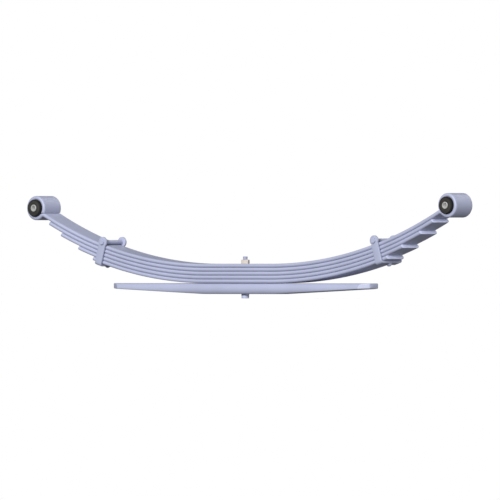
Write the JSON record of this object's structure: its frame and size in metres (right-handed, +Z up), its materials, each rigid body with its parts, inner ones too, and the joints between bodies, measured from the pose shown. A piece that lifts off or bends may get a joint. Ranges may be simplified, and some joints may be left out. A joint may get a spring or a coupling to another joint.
{
  "type": "leaf spring",
  "caption": "Curved multi-leaf suspension spring with a thick tapered overload leaf, rolled eyes with rubber bushes, bolted rebound clips and a centre bolt.",
  "frame": {"origin": "the centre bolt's axis on the axle seat, which is the underside of the overload leaf", "axes": "+Z up from the axle seat to the eyes, +X along the spring to the longer, rear arm, +Y across the spring"},
  "size_m": [1.6929, 0.1076, 0.3073],
  "materials": {
    "leaf_steel": "smooth satin grey paint with a faint blue cast",
    "clip_steel": "satin grey paint",
    "bolt_steel": "satin grey paint",
    "shell_steel": "plain drawn tube",
    "sleeve_steel": "turned, slightly matt",
    "plated_nut": "warm pale plating",
    "bush_rubber": "moulded black rubber"
  },
  "bodies": {
    "pack": {"main_leaf": "leaf_steel", "leaf_2": "leaf_steel", "leaf_3": "leaf_steel", "leaf_4": "leaf_steel", "leaf_5": "leaf_steel", "overload_leaf": "leaf_steel", "centre_bolt": "bolt_steel", "centre_nut": "plated_nut"},
    "front_arm": {"front_clip_band": "clip_steel", "front_clip_rivet": "bolt_steel", "front_clip_bolt": "bolt_steel", "front_clip_spacer": "bolt_steel", "front_clip_nut": "bolt_steel", "front_bush_shell": "shell_steel", "front_bush_rubber": "bush_rubber"},
    "front_sleeve": {"front_bush_sleeve": "sleeve_steel"},
    "rear_arm": {"rear_clip_band": "clip_steel", "rear_clip_rivet": "bolt_steel", "rear_clip_bolt": "bolt_steel", "rear_clip_spacer": "bolt_steel", "rear_clip_nut": "bolt_steel", "rear_bush_shell": "shell_steel", "rear_bush_rubber": "bush_rubber"},
    "rear_sleeve": {"rear_bush_sleeve": "sleeve_steel"}
  },
  "joints": [
    {"name": "front_arm_flex", "type": "hinge", "parent": "pack", "child": "front_arm", "pos_m": [-0.28, 0, 0.068], "axis": [0, -1, 0], "range_deg": [0, 11.5], "stiffness_Nm_per_rad": 13200, "deforming": ["main_leaf", "leaf_2", "leaf_3", "leaf_4", "leaf_5"]},
    {"name": "rear_arm_flex", "type": "hinge", "parent": "pack", "child": "rear_arm", "pos_m": [0.28, 0, 0.068], "axis": [0, 1, 0], "range_deg": [0, 11.5], "stiffness_Nm_per_rad": 13200, "deforming": ["main_leaf", "leaf_2", "leaf_3", "leaf_4", "leaf_5"]},
    {"name": "front_bush_twist", "type": "hinge", "parent": "front_arm", "child": "front_sleeve", "pos_m": [-0.8, 0, 0.25272], "axis": [0, 1, 0], "range_deg": [-30, 30], "stiffness_Nm_per_rad": 60},
    {"name": "rear_bush_twist", "type": "hinge", "parent": "rear_arm", "child": "rear_sleeve", "pos_m": [0.8215, 0, 0.25893], "axis": [0, 1, 0], "range_deg": [-30, 30], "stiffness_Nm_per_rad": 60}
  ]
}
